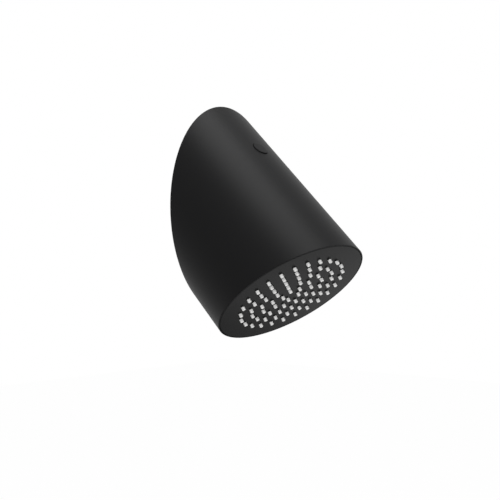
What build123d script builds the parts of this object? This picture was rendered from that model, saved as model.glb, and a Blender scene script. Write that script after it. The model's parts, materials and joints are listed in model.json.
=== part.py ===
from build123d import *
import math
import os

# Shower head for a wall: a round body that slopes out and down, cut flat at wall and spray face.
# Millimetres, +Z up. The wall is the plane Y = 0, the room is towards -Y.
# The origin is the inlet axis at the wall.

# Body
BODY_RADIUS = 50.0
BODY_DROP = 44.0
BODY_LENGTH = 79.0
FACE_DROP = 54.5
SHELL_WALL = 3.0
INLET_RISE = 9.0
EDGE_BREAK = 0.2

# Gasket in the wall rim
GASKET_LAND = 1.4
GASKET_DEPTH = 2.0
GASKET_CLEARANCE = 0.1

# Spray plate
LIP = 0.7
PLATE_CLEARANCE = 0.3
PLATE_THICK = 3.0
PLATE_BOSS_HEIGHT = 6.0
PLATE_BOSS_RADIUS = 2.6

# Nozzles and their mat
RING_COUNT = 5
NOZZLES_PER_RING = 5
FIRST_RING_RADIUS = 6.2
OUTER_RING_INSET = 2.08
NOZZLE_ROOT_RADIUS = 1.2
NOZZLE_TIP_RADIUS = 1.05
NOZZLE_PROUD = 1.75
NOZZLE_CLEARANCE = 0.2
NOZZLE_SIDES = 6
BORE_RADIUS = 0.53
BORE_SIDES = 4
MAT_THICK = 2.0
MAT_SEAT = 2.0
MAT_CLEARANCE = 0.2

# Chamber cover and its screws
CHAMBER_DEPTH = 8.0
COVER_CLEARANCE = 2.0
COVER_THICK = 3.0
COVER_FLANGE_THICK = 2.5
COVER_RIB_COUNT = 6
COVER_RIB_THICK = 2.0
COVER_RIB_HEIGHT = 1.8
CHAMBER_SCREW_COUNT = 6
CHAMBER_SCREW_EDGE = 2.6
CHAMBER_SCREW_RADIUS = 1.5
CHAMBER_SCREW_LENGTH = 7.0
CHAMBER_SCREW_HEX = 4.4
CHAMBER_SCREW_HEAD = 2.0
CHAMBER_SCREW_CLEARANCE = 0.1

# Disc on legs under the inlet of the chamber
SPREADER_RADIUS = 15.0
SPREADER_THICK = 1.5
SPREADER_DROP = 2.5
SPREADER_LEGS = 3
SPREADER_LEG_RADIUS = 1.5
SPREADER_LEG_CIRCLE = 11.0
SPREADER_FIRST_LEG = 90.0

# Stem, union nut and outlet pipe
STEM_RADIUS = 10.5
STEM_BORE = 6.0
STEM_HEIGHT = 10.0
STEM_SEAL_THICK = 1.0
PIPE_RADIUS = 8.0
PIPE_BORE = 5.5
PIPE_COLLAR_THICK = 3.0
PIPE_INSERT = 11.0
PIPE_CLEARANCE = 0.05
NUT_WALL = 2.9
NUT_TOP = 3.0
NUT_LENGTH = 14.5
NUT_CLEARANCE = 0.1

# Manifold
MANIFOLD_GAP = 1.0
MANIFOLD_WALL = 5.4
MANIFOLD_FLOOR = 4.0
SOCKET_CLEARANCE = 0.1
SOCKET_GAP = 0.8
PLENUM_RADIUS = 7.0
PLENUM_DEPTH = 9.0
OUTLET_STEP = 4.0
OUTLET_WALL = 3.95
OUTLET_BOSS_LENGTH = 25.0
EAR_INSET = 16.0
EAR_END_RADIUS = 7.5
EAR_THICK = 5.0
SHELL_BOSS_RADIUS = 5.5
SHELL_RIB_THICK = 3.0
SHELL_RIB_STEP = 3.0

# Screws that hold the manifold
MANIFOLD_SCREW_RADIUS = 2.5
MANIFOLD_SCREW_LENGTH = 18.0
MANIFOLD_SCREW_HEX = 8.0
MANIFOLD_SCREW_HEAD = 3.2
MANIFOLD_SCREW_CLEARANCE = 0.2
THREAD_CLEARANCE = 0.05

# Set screw, its boss and the plug of its hole in the body
SCREW_LINE_OFFSET = -3.75
SET_SCREW_RADIUS = 3.0
SET_SCREW_LENGTH = 13.0
SET_SCREW_POINT = 2.1
SET_SCREW_POINT_RADIUS = 1.2
SET_SCREW_KEY = 3.0
SET_SCREW_KEY_DEPTH = 4.0
SET_SCREW_CLEARANCE = 0.1
SCREW_BOSS_WALL = 4.0
SCREW_BOSS_GAP = 12.0
SCREW_HOLE_RADIUS = 5.6
PLUG_DEPTH = 4.5
PLUG_PROUD = 0.6
PLUG_CLEARANCE = 0.1

# Inlet nipple
THREAD_RADIUS = 10.4775
THREAD_LENGTH = 14.0
NECK_RADIUS = 9.2
WASHER_THICK = 2.0
WASHER_RADIUS = 13.0
WASHER_CLEARANCE = 0.2
HEX_ACROSS_FLATS = 24.0
HEX_THICK = 5.0
SPIGOT_RADIUS = 9.0
SPIGOT_NOSE = 1.5
NIPPLE_BORE = 5.5
LOCK_GROOVE_DEPTH = 2.0
SEAL_COUNT = 2
SEAL_LAND = 1.0
SEAL_GROOVE_WIDTH = 2.1
SEAL_GROOVE_DEPTH = 1.9
SEAL_CLEARANCE = 0.05
POCKET_RADIUS = 7.4
POCKET_DEPTH = 10.0

# Regulator and strainer
REGULATOR_CLEARANCE = 0.1
REGULATOR_LENGTH = 5.0
REGULATOR_SEAL_THICK = 1.5
REGULATOR_HOLES = 6
REGULATOR_HOLE_RADIUS = 0.9
REGULATOR_HOLE_CIRCLE = 3.6
SCREEN_RIM = 1.5
SCREEN_RIM_WIDTH = 1.3
SCREEN_THICK = 0.5
SCREEN_PITCH = 2.8
SCREEN_HOLE = 2.0
SCREEN_REACH = 1

# Sides of the round pieces that are small, repeat or lie inside the head
GASKET_SIDES = 48
LARGE_SIDES = 32
PLUG_SIDES = 24
MIDDLE_SIDES = 16
SMALL_SIDES = 12
SHANK_SIDES = 8

# Length of the bars and blocks that only serve to cut
CUT = 300.0

drop = math.radians(BODY_DROP)
face_drop = math.radians(FACE_DROP)
body_axis = (0, -math.cos(drop), -math.sin(drop))
spray = (0, -math.cos(face_drop), -math.sin(face_drop))
right = (1, 0, 0)

# Room counts its depth from the wall, body runs along the body axis, face looks out of the spray plate
room = Plane(origin=(0, 0, 0), x_dir=right, z_dir=(0, -1, 0))
body = Plane(origin=(0, 0, -INLET_RISE), x_dir=right, z_dir=body_axis)
face = Plane(origin=body.from_local_coords((0, 0, BODY_LENGTH)), x_dir=right, z_dir=spray)

# The set screw's line crosses the body axis at a right angle
screw_start = body.from_local_coords((0, 0, SCREW_LINE_OFFSET))
screw_line = Plane(origin=screw_start, x_dir=right, z_dir=body.y_dir)

BOTTOM = (Align.CENTER, Align.CENTER, Align.MIN)
TOP = (Align.CENTER, Align.CENTER, Align.MAX)


def rod(plane, radius, start, end, x=0.0, y=0.0, sides=0):
    outline = RegularPolygon(radius, sides) if sides else Circle(radius)
    return plane * Pos(x, y, start) * extrude(outline, end - start)


def ring(plane, outer, inner, start, end, x=0.0, y=0.0, sides=0):
    return rod(plane, outer, start, end, x, y, sides) - rod(plane, inner, start, end, x, y, sides)


def hexagon(plane, across_flats, start, end, x=0.0, y=0.0):
    outline = RegularPolygon(across_flats / 2, 6, major_radius=False)
    return plane * Pos(x, y, start) * extrude(outline, end - start)


def circle_spots(radius, count, first=0.0):
    steps = [math.radians(first + 360.0 * i / count) for i in range(count)]
    return [(radius * math.cos(s), radius * math.sin(s)) for s in steps]


# Radii that follow from the body: cover, screws, mat, chamber and nozzle rings, from outside in
inner_radius = BODY_RADIUS - SHELL_WALL
flange_radius = inner_radius - COVER_CLEARANCE
screw_circle = flange_radius - CHAMBER_SCREW_EDGE
mat_radius = screw_circle - PLATE_BOSS_RADIUS - MAT_CLEARANCE
chamber_radius = mat_radius - MAT_SEAT
outer_ring_radius = chamber_radius - OUTER_RING_INSET
ring_pitch = (outer_ring_radius - FIRST_RING_RADIUS) / (RING_COUNT - 1)
ear_offset = inner_radius - EAR_INSET

# Set screw on its line: the point stands on the floor of the nipple's groove
line_height = room.to_local_coords(screw_start).Y
line_depth = room.to_local_coords(screw_start).Z
lock_floor = SPIGOT_RADIUS - LOCK_GROOVE_DEPTH
point_rise = lock_floor + SET_SCREW_CLEARANCE + SET_SCREW_POINT_RADIUS * math.sin(drop)
screw_tip = (point_rise - line_height) / math.cos(drop)
flank_rise = SPIGOT_RADIUS + SET_SCREW_RADIUS * math.sin(drop)
flank_end = (flank_rise - line_height) / math.cos(drop)

# Depths from the wall, one after the other: hex, manifold, lock groove, seals, spigot, plenum
hex_end = WASHER_THICK + HEX_THICK
manifold_start = hex_end + MANIFOLD_GAP
ear_back = manifold_start + EAR_THICK
point_depth = line_depth + screw_tip * math.sin(drop)
flank_depth = line_depth + flank_end * math.sin(drop)
lock_start = point_depth - SET_SCREW_POINT_RADIUS * math.cos(drop) - SET_SCREW_CLEARANCE
lock_end = flank_depth + SET_SCREW_RADIUS * math.cos(drop) + SET_SCREW_CLEARANCE
seal_step = SEAL_GROOVE_WIDTH + SEAL_LAND
seal_starts = [lock_end + SEAL_LAND + seal_step * i for i in range(SEAL_COUNT)]
spigot_end = seal_starts[-1] + SEAL_GROOVE_WIDTH + SPIGOT_NOSE
socket_end = spigot_end + SOCKET_GAP
plenum_end = socket_end + PLENUM_DEPTH
manifold_end = plenum_end + MANIFOLD_FLOOR

# The outlet leaves the plenum along the spray direction and meets the chamber's stem
outlet_start = room.from_local_coords((0, 0, socket_end + OUTLET_STEP))
outlet = Plane(origin=outlet_start, x_dir=right, z_dir=spray)
stem_offset = face.to_local_coords(outlet_start).Y
outlet_depth = -face.to_local_coords(outlet_start).Z

# Blocks on the room side of the wall and behind the face
room_side = room * Box(CUT, CUT, CUT, align=BOTTOM)
behind_face = face * Box(CUT, CUT, CUT, align=TOP)

# Body: a round bar cut by the wall and by the face
bar = rod(body, BODY_RADIUS, -CUT / 2, CUT / 2) & room_side & behind_face
spray_line = Axis(face.origin, face.z_dir)
bar = chamfer(bar.faces().sort_by(spray_line)[-1].edges(), EDGE_BREAK)

# Hollow, step for the gasket and the seat of the plate
step_radius = BODY_RADIUS - GASKET_LAND
hollow = rod(body, inner_radius, -CUT / 2, CUT / 2)
gasket_zone = room * Box(CUT, CUT, 2 * GASKET_DEPTH)
gasket_step = rod(body, step_radius, -CUT / 2, CUT / 2) & gasket_zone
seat_x = BODY_RADIUS - LIP
seat_y = seat_x / math.cos(face_drop - drop)
plate_seat = face * Pos(0, 0, -PLATE_THICK) * extrude(Ellipse(seat_x, seat_y), 2 * PLATE_THICK)

# Bosses with side ribs for the manifold's ears
bosses = []
for side in (-1, 1):
    boss = rod(room, SHELL_BOSS_RADIUS, ear_back, CUT / 2, side * ear_offset, sides=SMALL_SIDES)
    rib_start = ear_back + SHELL_RIB_STEP
    rib_width = BODY_RADIUS - ear_offset
    rib_middle = side * (ear_offset + rib_width / 2)
    rib = room * Pos(rib_middle, 0, rib_start) * Box(rib_width, SHELL_RIB_THICK, CUT / 2, align=BOTTOM)
    bosses.append(boss & bar)
    bosses.append(rib & bar)
boss_hole_end = ear_back + MANIFOLD_SCREW_LENGTH
boss_hole_radius = MANIFOLD_SCREW_RADIUS + THREAD_CLEARANCE
boss_holes = [
    rod(room, boss_hole_radius, ear_back, boss_hole_end, side * ear_offset, sides=SHANK_SIDES)
    for side in (-1, 1)
]
hole_start = inner_radius - SHELL_WALL
hole_end = BODY_RADIUS + SHELL_WALL
screw_hole = rod(screw_line, SCREW_HOLE_RADIUS, hole_start, hole_end, sides=PLUG_SIDES)

body_shell = bar - hollow - gasket_step + bosses - plate_seat - boss_holes - screw_hole

# Gasket
gasket_radius = step_radius - GASKET_CLEARANCE
wall_gasket = ring(body, gasket_radius, inner_radius, -CUT / 2, CUT / 2, sides=GASKET_SIDES)
wall_gasket &= room * Box(CUT, CUT, GASKET_DEPTH, align=BOTTOM)

# Nozzle places, ring by ring
spots = []
for k in range(RING_COUNT):
    spots += circle_spots(FIRST_RING_RADIUS + ring_pitch * k, NOZZLES_PER_RING * (k + 1))
screw_spots = circle_spots(screw_circle, CHAMBER_SCREW_COUNT, 180.0 / CHAMBER_SCREW_COUNT)

# Spray plate with its holes and the screw bosses on its back
plate_outline = Ellipse(seat_x - PLATE_CLEARANCE, seat_y - PLATE_CLEARANCE)
hole_radius = NOZZLE_ROOT_RADIUS + NOZZLE_CLEARANCE
plate_holes = [Pos(x, y) * RegularPolygon(hole_radius, NOZZLE_SIDES) for x, y in spots]
plate_back = -PLATE_THICK - PLATE_BOSS_HEIGHT
plate = face * Pos(0, 0, -PLATE_THICK) * extrude(plate_outline - plate_holes, PLATE_THICK)
plate_bosses = [
    rod(face, PLATE_BOSS_RADIUS, plate_back, -PLATE_THICK, x, y, SHANK_SIDES) for x, y in screw_spots
]
core_radius = CHAMBER_SCREW_RADIUS + THREAD_CLEARANCE
flange_back = plate_back - COVER_FLANGE_THICK
core_end = flange_back + CHAMBER_SCREW_LENGTH
plate_cores = [rod(face, core_radius, plate_back, core_end, x, y, SHANK_SIDES) for x, y in screw_spots]
face_plate = plate + plate_bosses - plate_cores

# Silicone mat with the nozzles
mat_front = -PLATE_THICK
mat_back = mat_front - MAT_THICK
nozzle_corners = [(x, y, mat_front) for x, y in circle_spots(NOZZLE_ROOT_RADIUS, NOZZLE_SIDES)]
nozzle_corners += [(x, y, NOZZLE_PROUD) for x, y in circle_spots(NOZZLE_TIP_RADIUS, NOZZLE_SIDES)]
nozzle = ConvexPolyhedron(nozzle_corners)
nozzles = [face * Pos(x, y, 0) * nozzle for x, y in spots]
bores = [rod(face, BORE_RADIUS, mat_back, NOZZLE_PROUD, x, y, BORE_SIDES) for x, y in spots]
nozzle_mat = rod(face, mat_radius, mat_back, mat_front, sides=LARGE_SIDES) + nozzles - bores

# Chamber cover: cup, screw flange, stem and ribs
cover_roof = mat_back - CHAMBER_DEPTH
cover_back = cover_roof - COVER_THICK
stem_end = cover_back - STEM_HEIGHT
rib_end = cover_back - COVER_RIB_HEIGHT
cup = rod(face, mat_radius, cover_back, mat_back, sides=LARGE_SIDES)
cup -= rod(face, chamber_radius, cover_roof, mat_back, sides=LARGE_SIDES)
flange = ring(face, flange_radius, chamber_radius, flange_back, plate_back, sides=LARGE_SIDES)
stem = rod(face, STEM_RADIUS, stem_end, cover_back, 0, stem_offset, MIDDLE_SIDES)
rib_room = rod(face, mat_radius, rib_end, cover_back, sides=LARGE_SIDES)
rib_align = (Align.MIN, Align.CENTER, Align.MAX)
rib_bar = Box(2 * mat_radius, COVER_RIB_THICK, COVER_RIB_HEIGHT, align=rib_align)
ribs = []
for i in range(COVER_RIB_COUNT):
    turn = Rot(0, 0, 360.0 * i / COVER_RIB_COUNT)
    ribs.append(face * Pos(0, stem_offset, cover_back) * turn * rib_bar & rib_room)
stem_bore = rod(face, STEM_BORE, stem_end, cover_roof, 0, stem_offset, MIDDLE_SIDES)
flange_hole_radius = CHAMBER_SCREW_RADIUS + CHAMBER_SCREW_CLEARANCE
flange_holes = [
    rod(face, flange_hole_radius, flange_back, plate_back, x, y, SHANK_SIDES) for x, y in screw_spots
]
chamber_cover = cup + flange + stem + ribs - stem_bore - flange_holes

# Screws of the chamber, one group
chamber_screws = []
for x, y in screw_spots:
    shank = rod(face, CHAMBER_SCREW_RADIUS, flange_back, core_end, x, y, SHANK_SIDES)
    head = hexagon(face, CHAMBER_SCREW_HEX, flange_back - CHAMBER_SCREW_HEAD, flange_back, x, y)
    chamber_screws.append(shank + head)

# Disc on legs under the inlet of the chamber
spreader_back = cover_roof + SPREADER_DROP
spreader_front = spreader_back + SPREADER_THICK
disc = rod(face, SPREADER_RADIUS, spreader_back, spreader_front, 0, stem_offset, MIDDLE_SIDES)
legs = [
    rod(face, SPREADER_LEG_RADIUS, cover_roof, spreader_back, x, y + stem_offset, SHANK_SIDES)
    for x, y in circle_spots(SPREADER_LEG_CIRCLE, SPREADER_LEGS, SPREADER_FIRST_LEG)
]
flow_spreader = disc + legs

# Washer, pipe and union nut on the stem
seal_back = stem_end - STEM_SEAL_THICK
collar_radius = STEM_RADIUS - NUT_CLEARANCE
stem_seal = ring(face, collar_radius, STEM_BORE, seal_back, stem_end, 0, stem_offset, MIDDLE_SIDES)
pipe_end = outlet_depth + seal_back
pipe_start = OUTLET_BOSS_LENGTH - PIPE_INSERT
collar_start = pipe_end - PIPE_COLLAR_THICK
outlet_pipe = rod(outlet, PIPE_RADIUS, pipe_start, pipe_end, sides=MIDDLE_SIDES)
outlet_pipe += rod(outlet, collar_radius, collar_start, pipe_end, sides=MIDDLE_SIDES)
outlet_pipe -= rod(outlet, PIPE_BORE, pipe_start, pipe_end, sides=MIDDLE_SIDES)
nut_bore = STEM_RADIUS + NUT_CLEARANCE
nut_start = collar_start - NUT_TOP
nut_end = nut_start + NUT_LENGTH
union_nut = hexagon(outlet, 2 * (nut_bore + NUT_WALL), nut_start, nut_end)
union_nut -= rod(outlet, nut_bore, collar_start, nut_end, sides=MIDDLE_SIDES)
union_nut -= rod(outlet, PIPE_RADIUS + NUT_CLEARANCE, nut_start, nut_end, sides=MIDDLE_SIDES)

# Manifold: socket, ears, set screw boss and outlet boss
socket_radius = SPIGOT_RADIUS + SOCKET_CLEARANCE
manifold_radius = socket_radius + MANIFOLD_WALL
pipe_hole_radius = PIPE_RADIUS + PIPE_CLEARANCE
set_hole_radius = SET_SCREW_RADIUS + THREAD_CLEARANCE
ear_hole_radius = MANIFOLD_SCREW_RADIUS + MANIFOLD_SCREW_CLEARANCE
boss_top = inner_radius - SCREW_BOSS_GAP
past_start = Pos(0, -manifold_start, 0) * room_side
ear_bar = Box(2 * ear_offset, 2 * EAR_END_RADIUS, EAR_THICK, align=BOTTOM)
manifold = rod(room, manifold_radius, manifold_start, manifold_end, sides=MIDDLE_SIDES)
manifold += room * Pos(0, 0, manifold_start) * ear_bar
for side in (-1, 1):
    manifold += rod(room, EAR_END_RADIUS, manifold_start, ear_back, side * ear_offset, sides=SMALL_SIDES)
manifold += rod(screw_line, SET_SCREW_RADIUS + SCREW_BOSS_WALL, 0, boss_top, sides=MIDDLE_SIDES) & past_start
manifold += rod(outlet, pipe_hole_radius + OUTLET_WALL, 0, OUTLET_BOSS_LENGTH, sides=MIDDLE_SIDES)
manifold -= rod(room, socket_radius, manifold_start, socket_end, sides=MIDDLE_SIDES)
manifold -= rod(room, PLENUM_RADIUS, manifold_start, plenum_end, sides=MIDDLE_SIDES)
manifold -= rod(outlet, PIPE_BORE, 0, OUTLET_BOSS_LENGTH, sides=MIDDLE_SIDES)
manifold -= rod(outlet, pipe_hole_radius, pipe_start, OUTLET_BOSS_LENGTH, sides=MIDDLE_SIDES)
manifold -= rod(screw_line, set_hole_radius, screw_tip, boss_top, sides=SMALL_SIDES)
for side in (-1, 1):
    manifold -= rod(room, ear_hole_radius, manifold_start, ear_back, side * ear_offset, sides=SMALL_SIDES)

# Screws of the manifold, one group
manifold_screws = []
shank_end = manifold_start + MANIFOLD_SCREW_LENGTH
head_start = manifold_start - MANIFOLD_SCREW_HEAD
for side in (-1, 1):
    x = side * ear_offset
    shank = rod(room, MANIFOLD_SCREW_RADIUS, manifold_start, shank_end, x, sides=SHANK_SIDES)
    manifold_screws.append(shank + hexagon(room, MANIFOLD_SCREW_HEX, head_start, manifold_start, x))

# Set screw with a dog point
point_end = screw_tip + SET_SCREW_POINT
screw_end = screw_tip + SET_SCREW_LENGTH
set_screw = rod(screw_line, SET_SCREW_RADIUS, point_end, screw_end, sides=SMALL_SIDES)
set_screw += rod(screw_line, SET_SCREW_POINT_RADIUS, screw_tip, point_end, sides=SHANK_SIDES)
set_screw -= hexagon(screw_line, SET_SCREW_KEY, screw_end - SET_SCREW_KEY_DEPTH, screw_end)

# Plug of the screw hole, with a top that follows the body
plug_radius = SCREW_HOLE_RADIUS - PLUG_CLEARANCE
plug_skin = rod(body, BODY_RADIUS + PLUG_PROUD, -CUT / 2, CUT / 2)
hole_plug = rod(screw_line, plug_radius, BODY_RADIUS - PLUG_DEPTH, CUT / 2, sides=PLUG_SIDES) & plug_skin

# Inlet nipple: thread, neck, hex, spigot with a lock groove and two seal grooves
inlet_nipple = rod(room, THREAD_RADIUS, -THREAD_LENGTH, 0)
inlet_nipple += rod(room, NECK_RADIUS, 0, WASHER_THICK, sides=MIDDLE_SIDES)
inlet_nipple += hexagon(room, HEX_ACROSS_FLATS, WASHER_THICK, hex_end)
inlet_nipple += rod(room, SPIGOT_RADIUS, hex_end, spigot_end, sides=MIDDLE_SIDES)
inlet_nipple -= ring(room, SPIGOT_RADIUS, lock_floor, lock_start, lock_end, sides=MIDDLE_SIDES)
seal_floor = SPIGOT_RADIUS - SEAL_GROOVE_DEPTH
for start in seal_starts:
    groove_end = start + SEAL_GROOVE_WIDTH
    inlet_nipple -= ring(room, SPIGOT_RADIUS, seal_floor, start, groove_end, sides=MIDDLE_SIDES)
pocket_end = POCKET_DEPTH - THREAD_LENGTH
inlet_nipple -= rod(room, NIPPLE_BORE, -THREAD_LENGTH, spigot_end, sides=MIDDLE_SIDES)
inlet_nipple -= rod(room, POCKET_RADIUS, -THREAD_LENGTH, pocket_end, sides=MIDDLE_SIDES)

# Seals of the nipple, one group, and the washer behind its hex
nipple_o_rings = []
for start in seal_starts:
    near = start + SEAL_CLEARANCE
    far = start + SEAL_GROOVE_WIDTH - SEAL_CLEARANCE
    nipple_o_rings.append(ring(room, socket_radius, seal_floor, near, far, sides=MIDDLE_SIDES))
washer_bore = NECK_RADIUS + WASHER_CLEARANCE
wall_washer = ring(room, WASHER_RADIUS, washer_bore, 0, WASHER_THICK, sides=MIDDLE_SIDES)

# Flow regulator in the nipple's pocket, with its seal behind and the strainer in front
regulator_radius = POCKET_RADIUS - REGULATOR_CLEARANCE
regulator_end = pocket_end - REGULATOR_SEAL_THICK
regulator_start = regulator_end - REGULATOR_LENGTH
regulator_seal = ring(room, regulator_radius, NIPPLE_BORE, regulator_end, pocket_end, sides=MIDDLE_SIDES)
flow_regulator = rod(room, regulator_radius, regulator_start, regulator_end, sides=MIDDLE_SIDES)
for x, y in circle_spots(REGULATOR_HOLE_CIRCLE, REGULATOR_HOLES):
    flow_regulator -= rod(room, REGULATOR_HOLE_RADIUS, regulator_start, regulator_end, x, y, SHANK_SIDES)
screen_start = regulator_start - SCREEN_RIM
steps = range(-SCREEN_REACH, SCREEN_REACH + 1)
mesh_holes = [
    Pos(SCREEN_PITCH * i, SCREEN_PITCH * j) * Rectangle(SCREEN_HOLE, SCREEN_HOLE)
    for i in steps
    for j in steps
]
mesh_disc = RegularPolygon(regulator_radius, MIDDLE_SIDES) - mesh_holes
filter_screen = room * Pos(0, 0, screen_start) * extrude(mesh_disc, SCREEN_THICK)
rim_inner = regulator_radius - SCREEN_RIM_WIDTH
filter_screen += ring(room, regulator_radius, rim_inner, screen_start, regulator_start, sides=MIDDLE_SIDES)

# One file for each piece
pieces = {
    "body_shell": body_shell,
    "wall_gasket": wall_gasket,
    "face_plate": face_plate,
    "nozzle_mat": nozzle_mat,
    "chamber_cover": chamber_cover,
    "chamber_screws": Compound(children=chamber_screws),
    "flow_spreader": flow_spreader,
    "stem_seal": stem_seal,
    "union_nut": union_nut,
    "outlet_pipe": outlet_pipe,
    "manifold": manifold,
    "manifold_screws": Compound(children=manifold_screws),
    "set_screw": set_screw,
    "hole_plug": hole_plug,
    "inlet_nipple": inlet_nipple,
    "nipple_o_rings": Compound(children=nipple_o_rings),
    "wall_washer": wall_washer,
    "flow_regulator": flow_regulator,
    "regulator_seal": regulator_seal,
    "filter_screen": filter_screen,
}
os.makedirs("parts", exist_ok=True)
for name, piece in pieces.items():
    export_step(piece, f"parts/{name}.step")
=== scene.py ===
import json
import math

import bpy
from mathutils import Matrix, Vector, geometry


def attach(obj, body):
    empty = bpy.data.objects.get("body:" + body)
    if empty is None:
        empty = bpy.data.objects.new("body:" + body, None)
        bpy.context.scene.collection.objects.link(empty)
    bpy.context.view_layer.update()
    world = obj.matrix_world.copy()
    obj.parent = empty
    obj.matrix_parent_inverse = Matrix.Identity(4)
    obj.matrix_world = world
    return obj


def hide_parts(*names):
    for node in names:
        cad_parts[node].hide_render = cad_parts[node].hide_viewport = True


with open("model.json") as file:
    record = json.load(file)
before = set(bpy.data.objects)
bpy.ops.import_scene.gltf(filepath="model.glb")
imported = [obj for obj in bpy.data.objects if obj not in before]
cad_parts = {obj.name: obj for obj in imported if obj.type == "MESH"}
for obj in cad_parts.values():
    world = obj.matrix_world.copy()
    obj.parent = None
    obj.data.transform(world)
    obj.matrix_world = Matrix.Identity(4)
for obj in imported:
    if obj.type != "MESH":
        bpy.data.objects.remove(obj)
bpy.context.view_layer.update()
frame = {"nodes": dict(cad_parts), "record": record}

# Sizes are in millimetres; those of floor, lamps and camera are in metres
MM = 0.001

# Body, as in the part's source
BODY_DROP = math.radians(44.0)
FACE_DROP = math.radians(54.5)
BODY_RADIUS = 50.0
BODY_LENGTH = 79.0
INLET_RISE = 9.0
SCREW_LINE_OFFSET = -3.75

# Spray plate, the screw bosses on its back and the cores in the bosses
LIP = 0.7
RIM_GAP = 0.3
PLATE_THICK = 3.0
PLATE_EDGE = 0.18
PLATE_SIDES = 144
HOLE_RADIUS = 1.5
BOSS_COUNT = 6
BOSS_CIRCLE = 42.4
BOSS_RADIUS = 2.6
BOSS_HEIGHT = 6.0
CORE_RADIUS = 1.55
CORE_DEPTH = 4.5

# Nozzles and their mat
RING_COUNT = 5
NOZZLES_PER_RING = 5
FIRST_RING = 6.2
RING_PITCH = 7.33
NOZZLE_PROUD = 1.75
MAT_RADIUS = 39.6
MAT_THICK = 2.0
MAT_SIDES = 96
SMALL_SIDES = 24

# Plug of the screw hole
PLUG_RADIUS = 5.3
PLUG_DEPTH = 4.5
PLUG_PROUD = 0.6
PLUG_SIDES = 64

# Inlet nipple: pipe thread with a lead-in and a run-out, hex, lock groove, seal grooves, bore and pocket
NIPPLE_SIDES = 96
THREAD_LENGTH = 14.0
THREAD_STEPS = 80
PITCH = 1.814
CREST = 10.4775
ROOT = 9.32
THREAD_SWING = 0.62
LEAD_IN = 0.25
LEAD_IN_SLOPE = 0.9
RUN_OUT = 0.4
RUN_OUT_SLOPE = 1.2
NECK_RADIUS = 9.2
HEX_THICK = 5.0
HEX_FLAT = 12.0
HEX_CORNER = 13.86
HEX_FACE = 11.9
HEX_EASE = 0.9
SPIGOT_RADIUS = 9.0
SPIGOT_END = 24.13
LOCK_FLOOR = 7.0
LOCK_START = 10.18
LOCK_END = 16.44
SEAL_COUNT = 2
SEAL_FLOOR = 7.1
SEAL_LAND = 1.0
SEAL_WIDTH = 2.1
NIPPLE_BORE = 5.5
POCKET_RADIUS = 7.4
POCKET_END = -4.0

# Washer behind the hex
WASHER_BORE = 9.4
WASHER_RADIUS = 13.0
WASHER_THICK = 2.0
WASHER_EASE = 0.1
WASHER_SIDES = 72

# Gasket in the wall rim
GASKET_OUTER = 48.45
GASKET_INNER = 47.05
GASKET_DEPTH = 1.95
GASKET_SIDES = 144

# Strainer: a rim and a net of square holes
STRAINER_RADIUS = 7.25
STRAINER_INNER = 6.0
STRAINER_START = -12.0
STRAINER_END = -10.5
STRAINER_SIDES = 72
NET_THICK = 0.4
NET_PITCH = 0.9
NET_HOLE = 0.6
NET_REACH = 5.4
NET_STEPS = 6

# Directions and places of the pieces
SIDE = Vector((1, 0, 0))
AXIS = Vector((0, -math.cos(BODY_DROP), -math.sin(BODY_DROP)))
BODY_UP = Vector((0, -math.sin(BODY_DROP), math.cos(BODY_DROP)))
SPRAY = Vector((0, -math.cos(FACE_DROP), -math.sin(FACE_DROP)))
FACE_UP = Vector((0, -math.sin(FACE_DROP), math.cos(FACE_DROP)))
BODY_START = Vector((0, 0, -INLET_RISE))
FACE_MIDDLE = BODY_START + AXIS * BODY_LENGTH
SCREW_START = BODY_START + AXIS * SCREW_LINE_OFFSET


def place(origin, x, y, z):
    matrix = Matrix((x, y, z)).transposed().to_4x4()
    matrix.translation = origin * MM
    return matrix @ Matrix.Scale(MM, 4)


IN_FRAME = Matrix.Scale(MM, 4)
ON_FACE = place(FACE_MIDDLE, SIDE, FACE_UP, SPRAY)
ON_WALL = place(Vector((0, 0, 0)), SIDE, Vector((0, 0, 1)), Vector((0, -1, 0)))
ON_SCREW = place(SCREW_START, SIDE, -AXIS, BODY_UP)


# Materials
LOOKS = {}
NOISE_DETAIL = 4.0
GRAIN_DETAIL = 2.0
GRAIN_HEIGHT = 0.0001
SPECKLE = 1.25


def add_node(tree, kind, values=None, **settings):
    node = tree.nodes.new("ShaderNode" + kind)
    for name, setting in settings.items():
        setattr(node, name, setting)
    for socket, value in (values or {}).items():
        node.inputs[socket].default_value = value
    return node


def surface(name, colour, rough, metal=0.0, other=None, scale=900.0, rough_swing=0.06, grain=0.0,
            grain_size=4000.0, specular=0.5):
    material = bpy.data.materials.new(name)
    material.use_nodes = True
    tree = material.node_tree
    link = tree.links.new
    shader = tree.nodes["Principled BSDF"]
    shader.inputs["Metallic"].default_value = metal
    shader.inputs["Specular IOR Level"].default_value = specular
    where = add_node(tree, "TexCoord")
    noise = add_node(tree, "TexNoise", {"Scale": scale, "Detail": NOISE_DETAIL})
    link(where.outputs["Object"], noise.inputs["Vector"])
    second = other or [c * SPECKLE for c in colour]
    blend = add_node(tree, "Mix", {"A": (*colour, 1), "B": (*second, 1)}, data_type="RGBA")
    link(noise.outputs["Fac"], blend.inputs["Factor"])
    link(blend.outputs["Result"], shader.inputs["Base Color"])
    span = add_node(tree, "MapRange", {"To Min": rough - rough_swing, "To Max": rough + rough_swing})
    link(noise.outputs["Fac"], span.inputs["Value"])
    link(span.outputs["Result"], shader.inputs["Roughness"])
    if grain:
        fine = add_node(tree, "TexNoise", {"Scale": grain_size, "Detail": GRAIN_DETAIL})
        link(where.outputs["Object"], fine.inputs["Vector"])
        bump = add_node(tree, "Bump", {"Strength": grain, "Distance": GRAIN_HEIGHT})
        link(fine.outputs["Fac"], bump.inputs["Height"])
        link(bump.outputs["Normal"], shader.inputs["Normal"])
    LOOKS[name] = material


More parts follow.
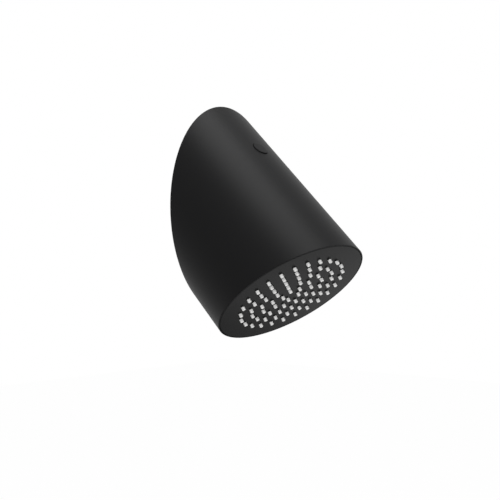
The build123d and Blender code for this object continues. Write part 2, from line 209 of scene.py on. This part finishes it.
BODY_SPECULAR = 0.06
PLATE_SPECULAR = 0.006
PLATE_ROUGH = 0.2
RIM_FACING_START = 0.6
RIM_FACING_FULL = 0.72
surface("body_paint", (0.0052, 0.0052, 0.0054), 0.45, grain=0.06, grain_size=2600.0, specular=BODY_SPECULAR)
surface("plate_black", (0.0058, 0.0058, 0.0060), PLATE_ROUGH, rough_swing=0.03, grain=0.05,
        grain_size=3200.0, specular=PLATE_SPECULAR)
surface("silicone_grey", (0.84, 0.84, 0.83), 0.5, other=(0.90, 0.90, 0.89), scale=600.0)
surface("cover_plastic", (0.045, 0.046, 0.048), 0.42, grain=0.1, grain_size=1800.0)
surface("brass", (0.62, 0.42, 0.17), 0.34, metal=1.0, other=(0.70, 0.50, 0.24), scale=350.0, grain=0.1)
surface("steel", (0.50, 0.50, 0.49), 0.32, metal=1.0, other=(0.60, 0.60, 0.59), scale=700.0)
surface("seal_black", (0.016, 0.016, 0.016), 0.66, grain=0.1)
surface("fibre_red", (0.30, 0.06, 0.035), 0.7, other=(0.38, 0.09, 0.05), scale=1500.0, grain=0.15)
surface("plug_black", (0.0050, 0.0050, 0.0052), 0.46, grain=0.04, specular=BODY_SPECULAR)
surface("regulator_white", (0.74, 0.74, 0.70), 0.45)


# The cut rim around the plate, known by the way it faces, has the plate's finish
def finish_rim(material):
    tree = material.node_tree
    link = tree.links.new
    shader = tree.nodes["Principled BSDF"]
    where = add_node(tree, "NewGeometry")
    facing = add_node(tree, "VectorMath", {1: SPRAY}, operation="DOT_PRODUCT")
    link(where.outputs["True Normal"], facing.inputs[0])
    step = {"From Min": RIM_FACING_START, "From Max": RIM_FACING_FULL}
    dull = add_node(tree, "MapRange", {**step, "To Min": BODY_SPECULAR, "To Max": PLATE_SPECULAR})
    link(facing.outputs["Value"], dull.inputs["Value"])
    link(dull.outputs["Result"], shader.inputs["Specular IOR Level"])
    rough = shader.inputs["Roughness"]
    sheen = add_node(tree, "MapRange", {**step, "To Max": PLATE_ROUGH})
    link(rough.links[0].from_socket, sheen.inputs["To Min"])
    link(facing.outputs["Value"], sheen.inputs["Value"])
    link(sheen.outputs["Result"], rough)


finish_rim(LOOKS["body_paint"])

slot_of = {part["node"]: part["material_slot"] for part in frame["record"]["subparts"]}
for node, obj in frame["nodes"].items():
    if not obj.material_slots:
        obj.data.materials.append(None)
    for slot in obj.material_slots:
        slot.material = LOOKS[slot_of[node]]


# Few-sided round pieces keep their shape and are shaded as round, where faces meet at less than the angle
ROUND_BELOW = math.radians(40.0)
MICROMETRES = 1e6


def shade_round(mesh):
    least = math.cos(ROUND_BELOW)
    spots = [tuple(round(c * MICROMETRES) for c in v.co) for v in mesh.vertices]
    around = {}
    for face in mesh.polygons:
        for v in face.vertices:
            around.setdefault(spots[v], []).append((face.normal.copy(), face.area))
    normals = []
    for face in mesh.polygons:
        for v in face.vertices:
            near = [n * area for n, area in around[spots[v]] if n.dot(face.normal) > least]
            normals.append(sum(near, Vector((0, 0, 0))).normalized())
    mesh.polygons.foreach_set("use_smooth", [True] * len(mesh.polygons))
    mesh.normals_split_custom_set(normals)


for node in ("manifold", "outlet_pipe", "union_nut", "chamber_cover", "manifold_screws", "chamber_screws"):
    shade_round(frame["nodes"][node].data)


# Meshes, built of rings of corners
def circle(radius, count, x=0.0, y=0.0, squash=1.0):
    turns = [2 * math.pi * i / count for i in range(count)]
    return [(x + radius * math.cos(t), y + squash * radius * math.sin(t)) for t in turns]


def add_ring(verts, outline, z):
    first = len(verts)
    verts.extend((x, y, z) for x, y in outline)
    return list(range(first, first + len(outline)))


def bridge(faces, rings):
    for a, b in zip(rings, rings[1:]):
        for i in range(len(a)):
            j = (i + 1) % len(a)
            faces.append((a[i], a[j], b[j], b[i]))


# A flat face with holes: triangles between its outer loop and the loops of the holes
INSIDE_ONLY = 1
TOUCHING = 1e-6


def holed_face(verts, faces, outer, holes, up):
    loops = [outer] + holes
    ids = [i for loop in loops for i in loop]
    at = {v: k for k, v in enumerate(ids)}
    points = [Vector(verts[i][:2]) for i in ids]
    edges = [(at[a], at[b]) for loop in loops for a, b in zip(loop, loop[1:] + loop[:1])]
    got = geometry.delaunay_2d_cdt(points, edges, [], INSIDE_ONLY, TOUCHING)
    triangles = got[2]
    sources = got[3]
    hole_of = {i: h for h, loop in enumerate(holes) for i in loop}
    for triangle in triangles:
        corners = [ids[min(sources[k])] for k in triangle]
        touched = {hole_of.get(c, -1) for c in corners}
        if len(touched) == 1 and -1 not in touched:
            continue
        p, q, r = [Vector(verts[c][:2]) for c in corners]
        turn = (q - p).cross(r - p)
        faces.append(tuple(corners if (turn > 0) == up else reversed(corners)))


def add_piece(name, node, shape, matrix, angle=35.0):
    verts, faces = shape
    mesh = bpy.data.meshes.new(name)
    mesh.from_pydata([matrix @ Vector(v) for v in verts], [], faces)
    mesh.validate()
    mesh.update()
    mesh.polygons.foreach_set("use_smooth", [True] * len(mesh.polygons))
    mesh.set_sharp_from_angle(angle=math.radians(angle))
    mesh.materials.append(LOOKS[slot_of[node]])
    obj = bpy.data.objects.new(name, mesh)
    bpy.context.scene.collection.objects.link(obj)
    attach(obj, "root")
    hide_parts(node)


# Nozzle places, ring by ring
SPOTS = []
for k in range(RING_COUNT):
    SPOTS += circle(FIRST_RING + RING_PITCH * k, NOZZLES_PER_RING * (k + 1))

# Heights over the face: the mat lies behind the plate
MAT_FRONT = -PLATE_THICK
MAT_BACK = MAT_FRONT - MAT_THICK

# One nozzle as radius and height: up its outside, over the eased tip and down the bore
NOZZLE_PROFILE = [
    (1.20, MAT_FRONT),
    (1.15, 0.0),
    (1.08, NOZZLE_PROUD - 0.28),
    (1.05, NOZZLE_PROUD - 0.14),
    (0.98, NOZZLE_PROUD - 0.04),
    (0.88, NOZZLE_PROUD),
    (0.68, NOZZLE_PROUD),
    (0.60, NOZZLE_PROUD - 0.04),
    (0.55, NOZZLE_PROUD - 0.15),
    (0.53, NOZZLE_PROUD - 0.35),
    (0.53, MAT_BACK),
]


# Silicone mat with round nozzles
def nozzle_shape():
    verts = []
    faces = []
    back_rim = add_ring(verts, circle(MAT_RADIUS, MAT_SIDES), MAT_BACK)
    front_rim = add_ring(verts, circle(MAT_RADIUS, MAT_SIDES), MAT_FRONT)
    bridge(faces, [back_rim, front_rim])
    roots = []
    mouths = []
    for x, y in SPOTS:
        rings = [add_ring(verts, circle(r, SMALL_SIDES, x, y), z) for r, z in NOZZLE_PROFILE]
        bridge(faces, rings)
        roots.append(rings[0])
        mouths.append(rings[-1])
    holed_face(verts, faces, front_rim, roots, True)
    holed_face(verts, faces, back_rim, mouths, False)
    return verts, faces


add_piece("round_nozzles", "nozzle_mat", nozzle_shape(), ON_FACE, 50.0)


# Spray plate: an oval with round holes, and the screw bosses on its back
def plate_shape():
    verts = []
    faces = []
    seat = BODY_RADIUS - LIP
    rim = seat - RIM_GAP
    stretch = (seat / math.cos(FACE_DROP - BODY_DROP) - RIM_GAP) / rim
    rim_low = add_ring(verts, circle(rim, PLATE_SIDES, squash=stretch), -PLATE_THICK)
    rim_high = add_ring(verts, circle(rim, PLATE_SIDES, squash=stretch), -PLATE_EDGE)
    rim_top = add_ring(verts, circle(rim - PLATE_EDGE, PLATE_SIDES, squash=stretch), 0.0)
    bridge(faces, [rim_low, rim_high, rim_top])
    tops = []
    lows = []
    hole = [(HOLE_RADIUS + PLATE_EDGE, 0.0), (HOLE_RADIUS, -PLATE_EDGE), (HOLE_RADIUS, -PLATE_THICK)]
    for x, y in SPOTS:
        rings = [add_ring(verts, circle(r, SMALL_SIDES, x, y), z) for r, z in hole]
        bridge(faces, rings)
        tops.append(rings[0])
        lows.append(rings[-1])
    boss_end = -PLATE_THICK - BOSS_HEIGHT
    core_end = boss_end + CORE_DEPTH
    core = [(CORE_RADIUS, core_end), (CORE_RADIUS, boss_end)]
    boss = core + [(BOSS_RADIUS, boss_end), (BOSS_RADIUS, -PLATE_THICK)]
    for k in range(BOSS_COUNT):
        turn = 2 * math.pi * (k + 0.5) / BOSS_COUNT
        x = BOSS_CIRCLE * math.cos(turn)
        y = BOSS_CIRCLE * math.sin(turn)
        rings = [add_ring(verts, circle(r, SMALL_SIDES, x, y), z) for r, z in boss]
        faces.append(tuple(reversed(rings[0])))
        bridge(faces, rings)
        lows.append(rings[-1])
    holed_face(verts, faces, rim_top, tops, True)
    holed_face(verts, faces, rim_low, lows, False)
    return verts, faces


add_piece("round_plate", "face_plate", plate_shape(), ON_FACE, 30.0)

# The plug's top as radius and fall below its skin: the eased edge, then the top itself
PLUG_TOP = [
    (PLUG_RADIUS, 0.24),
    (PLUG_RADIUS - 0.03, 0.12),
    (PLUG_RADIUS - 0.1, 0.04),
    (PLUG_RADIUS - 0.2, 0.01),
    (PLUG_RADIUS - 0.3, 0.0),
    (4.0, 0.0),
    (2.6, 0.0),
    (1.2, 0.0),
]


# Plug of the screw hole: its top follows the body
def plug_shape():
    verts = []
    faces = []
    skin = BODY_RADIUS + PLUG_PROUD
    rings = [add_ring(verts, circle(PLUG_RADIUS, PLUG_SIDES), BODY_RADIUS - PLUG_DEPTH)]
    for radius, fall in PLUG_TOP:
        first = len(verts)
        verts.extend((x, y, math.sqrt(skin * skin - x * x) - fall) for x, y in circle(radius, PLUG_SIDES))
        rings.append(list(range(first, len(verts))))
    faces.append(tuple(reversed(rings[0])))
    bridge(faces, rings)
    faces.append(tuple(rings[-1]))
    return verts, faces


add_piece("round_plug", "hole_plug", plug_shape(), ON_SCREW, 50.0)


# Inlet nipple: a rounded pipe thread, neck, hex and grooved spigot around one bore
def thread_outline(z):
    lead_in = ROOT + LEAD_IN + (z + THREAD_LENGTH) * LEAD_IN_SLOPE
    run_out = ROOT + max(0.0, -z - RUN_OUT) * RUN_OUT_SLOPE
    outline = []
    for i in range(NIPPLE_SIDES):
        t = 2 * math.pi * i / NIPPLE_SIDES
        wave = 0.5 + THREAD_SWING * math.cos(2 * math.pi * z / PITCH - t)
        height = max(0.0, min(1.0, wave))
        r = min(CREST, lead_in, run_out, ROOT + (CREST - ROOT) * height)
        outline.append((r * math.cos(t), r * math.sin(t)))
    return outline


def hex_outline(limit):
    outline = []
    for i in range(NIPPLE_SIDES):
        t = 2 * math.pi * i / NIPPLE_SIDES
        r = min(limit, HEX_FLAT / math.cos(t % (math.pi / 3) - math.pi / 6))
        outline.append((r * math.cos(t), r * math.sin(t)))
    return outline


def nipple_shape():
    verts = []
    faces = []
    hex_start = WASHER_THICK
    hex_end = hex_start + HEX_THICK
    rings = [add_ring(verts, circle(POCKET_RADIUS, NIPPLE_SIDES), -THREAD_LENGTH)]
    for i in range(THREAD_STEPS + 1):
        z = -THREAD_LENGTH * (1 - i / THREAD_STEPS)
        rings.append(add_ring(verts, thread_outline(z), z))
    for z in (0.0, hex_start):
        rings.append(add_ring(verts, circle(NECK_RADIUS, NIPPLE_SIDES), z))
    rings.append(add_ring(verts, hex_outline(HEX_FACE), hex_start))
    rings.append(add_ring(verts, hex_outline(HEX_CORNER), hex_start + HEX_EASE))
    rings.append(add_ring(verts, hex_outline(HEX_CORNER), hex_end - HEX_EASE))
    rings.append(add_ring(verts, hex_outline(HEX_FACE), hex_end))
    grooves = [(LOCK_FLOOR, LOCK_START, LOCK_END)]
    for k in range(SEAL_COUNT):
        start = LOCK_END + SEAL_LAND + (SEAL_WIDTH + SEAL_LAND) * k
        grooves.append((SEAL_FLOOR, start, start + SEAL_WIDTH))
    steps = [(SPIGOT_RADIUS, hex_end)]
    for floor_radius, start, end in grooves:
        steps += [(SPIGOT_RADIUS, start), (floor_radius, start), (floor_radius, end), (SPIGOT_RADIUS, end)]
    steps += [(SPIGOT_RADIUS, SPIGOT_END), (NIPPLE_BORE, SPIGOT_END)]
    steps += [(NIPPLE_BORE, POCKET_END), (POCKET_RADIUS, POCKET_END)]
    for radius, z in steps:
        rings.append(add_ring(verts, circle(radius, NIPPLE_SIDES), z))
    bridge(faces, rings + rings[:1])
    return verts, faces


add_piece("threaded_nipple", "inlet_nipple", nipple_shape(), ON_WALL, 32.0)


# Washer behind the hex, its edges eased
def washer_shape():
    verts = []
    faces = []
    ease = WASHER_EASE
    front = [(WASHER_BORE, ease), (WASHER_BORE + ease, 0.0)]
    front += [(WASHER_RADIUS - ease, 0.0), (WASHER_RADIUS, ease)]
    back = [(radius, WASHER_THICK - z) for radius, z in reversed(front)]
    rings = [add_ring(verts, circle(radius, WASHER_SIDES), z) for radius, z in front + back]
    bridge(faces, rings + rings[:1])
    return verts, faces


add_piece("round_washer", "wall_washer", washer_shape(), ON_WALL)


# Gasket in the wall rim: a slice of a tube along the body axis
def gasket_shape():
    verts = []
    faces = []
    rings = []
    corners = [(GASKET_OUTER, 0.0), (GASKET_OUTER, GASKET_DEPTH)]
    corners += [(GASKET_INNER, GASKET_DEPTH), (GASKET_INNER, 0.0)]
    for radius, depth in corners:
        first = len(verts)
        for x, y in circle(radius, GASKET_SIDES):
            point = BODY_START + SIDE * x + BODY_UP * y
            point += AXIS * ((point.y + depth) / -AXIS.y)
            verts.append(tuple(point))
        rings.append(list(range(first, len(verts))))
    bridge(faces, rings + rings[:1])
    return verts, faces


add_piece("round_gasket", "wall_gasket", gasket_shape(), IN_FRAME)


# Strainer: a rim and a fine net of square holes
def strainer_shape():
    verts = []
    faces = []
    net_back = STRAINER_START + NET_THICK
    outer_low = add_ring(verts, circle(STRAINER_RADIUS, STRAINER_SIDES), STRAINER_START)
    outer_high = add_ring(verts, circle(STRAINER_RADIUS, STRAINER_SIDES), STRAINER_END)
    inner_high = add_ring(verts, circle(STRAINER_INNER, STRAINER_SIDES), STRAINER_END)
    inner_low = add_ring(verts, circle(STRAINER_INNER, STRAINER_SIDES), net_back)
    bridge(faces, [outer_low, outer_high, inner_high, inner_low])
    fronts = []
    backs = []
    half = NET_HOLE / 2
    steps = [NET_PITCH * i for i in range(-NET_STEPS, NET_STEPS + 1)]
    for x, y in [(x, y) for x in steps for y in steps if math.hypot(x, y) <= NET_REACH]:
        square = [(x - half, y - half), (x + half, y - half), (x + half, y + half), (x - half, y + half)]
        front = add_ring(verts, square, STRAINER_START)
        back = add_ring(verts, square, net_back)
        bridge(faces, [back, front])
        fronts.append(front)
        backs.append(back)
    holed_face(verts, faces, outer_low, fronts, False)
    holed_face(verts, faces, inner_low, backs, True)
    return verts, faces


add_piece("fine_strainer", "filter_screen", strainer_shape(), ON_WALL)


# Value that is one for either of two kinds of ray
def either(tree, a, b):
    most = add_node(tree, "Math", operation="MAXIMUM")
    tree.links.new(a, most.inputs[0])
    tree.links.new(b, most.inputs[1])
    return most.outputs[0]


# Floor, far below the head
FLOOR_HEIGHT = -1.0
FLOOR_REACH = 6.0
FLOOR_GREY = 0.85
FLOOR_GLOW = 1.035
FLOOR_GLOW_SHARE = 0.94


def floor_look():
    material = bpy.data.materials.new("floor_pale")
    material.use_nodes = True
    tree = material.node_tree
    tree.nodes.clear()
    link = tree.links.new
    out = add_node(tree, "OutputMaterial")
    rays = add_node(tree, "LightPath")
    matt = add_node(tree, "BsdfDiffuse", {"Color": (FLOOR_GREY, FLOOR_GREY, FLOOR_GREY, 1)})
    glow = add_node(tree, "Emission", {"Color": (1, 1, 1, 1), "Strength": FLOOR_GLOW})
    share = add_node(tree, "Math", {1: FLOOR_GLOW_SHARE}, operation="MULTIPLY")
    mixed = add_node(tree, "MixShader")
    link(either(tree, rays.outputs["Is Camera Ray"], rays.outputs["Is Glossy Ray"]), share.inputs[0])
    link(share.outputs[0], mixed.inputs["Fac"])
    link(matt.outputs["BSDF"], mixed.inputs[1])
    link(glow.outputs["Emission"], mixed.inputs[2])
    link(mixed.outputs["Shader"], out.inputs["Surface"])
    return material


corners = [(-1, -1), (1, -1), (1, 1), (-1, 1)]
floor_verts = [(FLOOR_REACH * x, FLOOR_REACH * y, FLOOR_HEIGHT) for x, y in corners]
floor_mesh = bpy.data.meshes.new("floor")
floor_mesh.from_pydata(floor_verts, [], [(0, 1, 2, 3)])
floor_mesh.materials.append(floor_look())
floor = bpy.data.objects.new("floor", floor_mesh)
bpy.context.scene.collection.objects.link(floor)

# Studio: white where the camera looks past the object, a dim room for the light
ROOM_LIGHT = 0.35
scene = bpy.context.scene
scene.view_settings.view_transform = "Standard"


def studio():
    world = bpy.data.worlds.new("studio")
    world.use_nodes = True
    tree = world.node_tree
    tree.nodes.clear()
    link = tree.links.new
    out = add_node(tree, "OutputWorld")
    rays = add_node(tree, "LightPath")
    white = add_node(tree, "Background", {"Color": (1, 1, 1, 1)})
    dim = add_node(tree, "Background", {"Color": (1, 1, 1, 1), "Strength": ROOM_LIGHT})
    mixed = add_node(tree, "MixShader")
    seen = either(tree, rays.outputs["Is Camera Ray"], rays.outputs["Is Glossy Ray"])
    link(either(tree, seen, rays.outputs["Is Transmission Ray"]), mixed.inputs["Fac"])
    link(dim.outputs["Background"], mixed.inputs[1])
    link(white.outputs["Background"], mixed.inputs[2])
    link(mixed.outputs["Shader"], out.inputs["Surface"])
    return world


scene.world = studio()

# Lamps, each a soft box turned to the head: direction from the head, distance, width, height and watts
AIM = Vector((0, -0.04, -0.03))


def lamp(name, direction, distance, width, height, power):
    data = bpy.data.lights.new(name, "AREA")
    data.shape = "RECTANGLE"
    data.size = width
    data.size_y = height
    data.energy = power
    obj = bpy.data.objects.new(name, data)
    scene.collection.objects.link(obj)
    toward = Vector(direction).normalized()
    obj.location = AIM + toward * distance
    obj.rotation_euler = toward.to_track_quat("Z", "Y").to_euler()


lamp("top_box", (0.0, -0.17, 0.98), 1.1, 0.75, 0.75, 14.5)
lamp("front_fill", (-0.76, -0.64, 0.09), 1.2, 0.9, 0.7, 8.0)
lamp("low_right", (0.72, -0.04, -0.69), 0.5, 0.32, 0.32, 0.7)

# Camera at the photograph's angle
CAMERA_PLACE = Vector((-0.43192, -0.43021, -0.04405))
CAMERA_RIGHT = Vector((0.68744, -0.72613, -0.01251))
CAMERA_UP = Vector((-0.0014, -0.01856, 0.99983))
camera_data = bpy.data.cameras.new("camera")
camera_data.lens = 65.534
camera_data.sensor_width = 36.0
camera_data.clip_end = 50.0
camera = bpy.data.objects.new("camera", camera_data)
scene.collection.objects.link(camera)
camera_back = CAMERA_RIGHT.cross(CAMERA_UP).normalized()
view = Matrix((CAMERA_RIGHT, CAMERA_UP, camera_back)).transposed().to_4x4()
view.translation = CAMERA_PLACE
camera.matrix_world = view
scene.camera = camera
